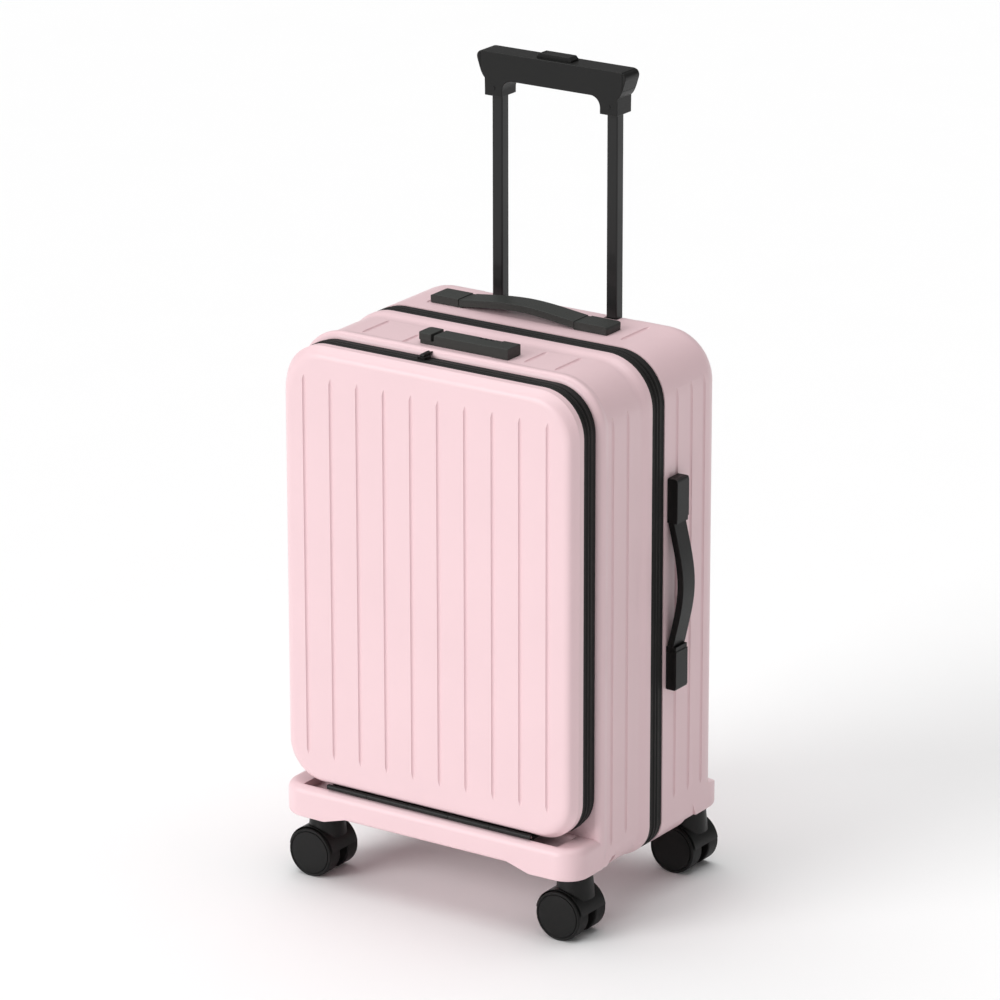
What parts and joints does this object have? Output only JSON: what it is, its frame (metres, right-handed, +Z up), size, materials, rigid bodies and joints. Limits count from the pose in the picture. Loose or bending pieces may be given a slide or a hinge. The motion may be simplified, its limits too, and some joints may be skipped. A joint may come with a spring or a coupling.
{
  "type": "hard shell suitcase on wheels",
  "caption": "Upright hard shell cabin suitcase on swivelling twin-wheel casters, opening like a book, with a front pocket lid, telescopic trolley handle and carry handles.",
  "frame": {"origin": "middle of the whole outline's base, on the floor between the casters", "axes": "+Z up along the trolley tubes, -Y towards the front pocket lid, +X towards the side with the side carry handle"},
  "size_m": [0.3739, 0.273, 0.8158],
  "materials": {
    "pink_shell": "pale pink moulded polycarbonate, fine satin texture",
    "zip_tape": "black woven zip tape with a moulded tooth line",
    "lining_cloth": "dark grey woven polyester lining",
    "black_plastic": "black moulded nylon, fine grain",
    "grey_plastic": "charcoal soft-touch plastic",
    "tube_aluminium": "black anodised",
    "steel": "zinc plated",
    "wheel_tread": "matt black polyurethane"
  },
  "bodies": {
    "back_half": {"back_shell": "pink_shell", "main_zip_tape_back": "zip_tape", "back_lining": "lining_cloth", "main_hinge_leaf_back": "black_plastic", "main_hinge_pin": "steel", "outer_tube_left": "tube_aluminium", "outer_tube_right": "tube_aluminium", "trolley_top_guide": "black_plastic", "trolley_foot": "black_plastic", "top_handle_block_left": "grey_plastic", "top_handle_block_right": "grey_plastic", "side_handle_block_upper": "grey_plastic", "side_handle_block_lower": "grey_plastic", "caster_housing_back_left": "black_plastic", "caster_housing_back_right": "black_plastic"},
    "front_half": {"front_shell": "pink_shell", "main_zip_tape_front": "zip_tape", "pocket_zip_tape_shell": "zip_tape", "pocket_divider": "lining_cloth", "main_hinge_leaf_front": "black_plastic", "lid_hinge_leaf_nose": "black_plastic", "lid_hinge_pin": "steel", "lock_body": "grey_plastic", "caster_housing_front_left": "black_plastic", "caster_housing_front_right": "black_plastic"},
    "lid": {"lid_shell": "pink_shell", "pocket_zip_tape_lid": "zip_tape", "lid_hinge_leaf_lid": "black_plastic"},
    "trolley_middle": {"middle_tube_left": "tube_aluminium", "middle_tube_right": "tube_aluminium"},
    "trolley_upper": {"trolley_tube_left": "tube_aluminium", "trolley_tube_right": "tube_aluminium", "trolley_grip": "black_plastic"},
    "trolley_release": {"trolley_button": "black_plastic", "trolley_release_yoke": "steel"},
    "top_handle": {"top_handle_grip": "grey_plastic"},
    "side_handle": {"side_handle_grip": "grey_plastic"},
    "lock_release": {"lock_button": "grey_plastic"},
    "lock_dial_1": {"lock_dial_1": "grey_plastic"},
    "lock_dial_2": {"lock_dial_2": "grey_plastic"},
    "lock_dial_3": {"lock_dial_3": "grey_plastic"},
    "pocket_slider": {"pocket_zip_slider": "black_plastic"},
    "main_slider": {"main_zip_slider": "black_plastic"},
    "caster_front_left": {"caster_fork_front_left": "black_plastic", "caster_axle_front_left": "steel"},
    "wheel_front_left_a": {"wheel_front_left_a": "wheel_tread"},
    "wheel_front_left_b": {"wheel_front_left_b": "wheel_tread"},
    "caster_front_right": {"caster_fork_front_right": "black_plastic", "caster_axle_front_right": "steel"},
    "wheel_front_right_a": {"wheel_front_right_a": "wheel_tread"},
    "wheel_front_right_b": {"wheel_front_right_b": "wheel_tread"},
    "caster_back_left": {"caster_fork_back_left": "black_plastic", "caster_axle_back_left": "steel"},
    "wheel_back_left_a": {"wheel_back_left_a": "wheel_tread"},
    "wheel_back_left_b": {"wheel_back_left_b": "wheel_tread"},
    "caster_back_right": {"caster_fork_back_right": "black_plastic", "caster_axle_back_right": "steel"},
    "wheel_back_right_a": {"wheel_back_right_a": "wheel_tread"},
    "wheel_back_right_b": {"wheel_back_right_b": "wheel_tread"}
  },
  "joints": [
    {"name": "main_hinge", "type": "hinge", "parent": "back_half", "child": "front_half", "pos_m": [-0.1844, 0.0075, 0.28], "axis": [0, 0, -1], "range_deg": [0, 170]},
    {"name": "lid_hinge", "type": "hinge", "parent": "front_half", "child": "lid", "pos_m": [-0.0075, -0.1296, 0.1065], "axis": [1, 0, 0], "range_deg": [0, 90]},
    {"name": "trolley_middle_slide", "type": "slide", "parent": "back_half", "child": "trolley_middle", "axis": [0, 0, 1], "range_m": [0, 0.19]},
    {"name": "trolley_upper_slide", "type": "slide", "parent": "trolley_middle", "child": "trolley_upper", "axis": [0, 0, 1], "range_m": [-0.204, 0]},
    {"name": "trolley_button_press", "type": "slide", "parent": "trolley_upper", "child": "trolley_release", "axis": [0, 0, -1], "range_m": [0, 0.0035], "stiffness_N_per_m": 1000, "springref_m": -0.003},
    {"name": "top_handle_lift", "type": "slide", "parent": "back_half", "child": "top_handle", "axis": [0, 0, 1], "range_m": [0, 0.0025], "stiffness_N_per_m": 800},
    {"name": "side_handle_lift", "type": "slide", "parent": "back_half", "child": "side_handle", "axis": [1, 0, 0], "range_m": [0, 0.0025], "stiffness_N_per_m": 800},
    {"name": "lock_release_push", "type": "slide", "parent": "front_half", "child": "lock_release", "axis": [1, 0, 0], "range_m": [0, 0.0025], "stiffness_N_per_m": 500},
    {"name": "pocket_slider_run", "type": "slide", "parent": "front_half", "child": "pocket_slider", "axis": [1, 0, 0], "range_m": [-0.1, 0.1]},
    {"name": "main_slider_run", "type": "slide", "parent": "back_half", "child": "main_slider", "axis": [0, 0, 1], "range_m": [0, 0.05]},
    {"name": "lock_dial_1_turn", "type": "hinge", "parent": "front_half", "child": "lock_dial_1", "pos_m": [0.0075, -0.0564, 0.5675], "axis": [1, 0, 0], "continuous": true},
    {"name": "lock_dial_2_turn", "type": "hinge", "parent": "front_half", "child": "lock_dial_2", "pos_m": [0.0135, -0.0564, 0.5675], "axis": [1, 0, 0], "continuous": true},
    {"name": "lock_dial_3_turn", "type": "hinge", "parent": "front_half", "child": "lock_dial_3", "pos_m": [0.0195, -0.0564, 0.5675], "axis": [1, 0, 0], "continuous": true},
    {"name": "caster_swivel_front_left", "type": "hinge", "parent": "front_half", "child": "caster_front_left", "pos_m": [-0.1545, -0.0935, 0.06], "axis": [0, 0, 1], "continuous": true},
    {"name": "wheel_spin_front_left_a", "type": "hinge", "parent": "caster_front_left", "child": "wheel_front_left_a", "pos_m": [-0.1595, -0.1087, 0.025], "axis": [0, 1, 0], "continuous": true},
    {"name": "wheel_spin_front_left_b", "type": "hinge", "parent": "caster_front_left", "child": "wheel_front_left_b", "pos_m": [-0.1595, -0.0783, 0.025], "axis": [0, 1, 0], "continuous": true},
    {"name": "caster_swivel_front_right", "type": "hinge", "parent": "front_half", "child": "caster_front_right", "pos_m": [0.1395, -0.0935, 0.06], "axis": [0, 0, 1], "continuous": true},
    {"name": "wheel_spin_front_right_a", "type": "hinge", "parent": "caster_front_right", "child": "wheel_front_right_a", "pos_m": [0.1345, -0.1087, 0.025], "axis": [0, 1, 0], "continuous": true},
    {"name": "wheel_spin_front_right_b", "type": "hinge", "parent": "caster_front_right", "child": "wheel_front_right_b", "pos_m": [0.1345, -0.0783, 0.025], "axis": [0, 1, 0], "continuous": true},
    {"name": "caster_swivel_back_left", "type": "hinge", "parent": "back_half", "child": "caster_back_left", "pos_m": [-0.1545, 0.1125, 0.06], "axis": [0, 0, 1], "continuous": true},
    {"name": "wheel_spin_back_left_a", "type": "hinge", "parent": "caster_back_left", "child": "wheel_back_left_a", "pos_m": [-0.1595, 0.0973, 0.025], "axis": [0, 1, 0], "continuous": true},
    {"name": "wheel_spin_back_left_b", "type": "hinge", "parent": "caster_back_left", "child": "wheel_back_left_b", "pos_m": [-0.1595, 0.1277, 0.025], "axis": [0, 1, 0], "continuous": true},
    {"name": "caster_swivel_back_right", "type": "hinge", "parent": "back_half", "child": "caster_back_right", "pos_m": [0.1395, 0.1125, 0.06], "axis": [0, 0, 1], "continuous": true},
    {"name": "wheel_spin_back_right_a", "type": "hinge", "parent": "caster_back_right", "child": "wheel_back_right_a", "pos_m": [0.1345, 0.0973, 0.025], "axis": [0, 1, 0], "continuous": true},
    {"name": "wheel_spin_back_right_b", "type": "hinge", "parent": "caster_back_right", "child": "wheel_back_right_b", "pos_m": [0.1345, 0.1277, 0.025], "axis": [0, 1, 0], "continuous": true}
  ]
}
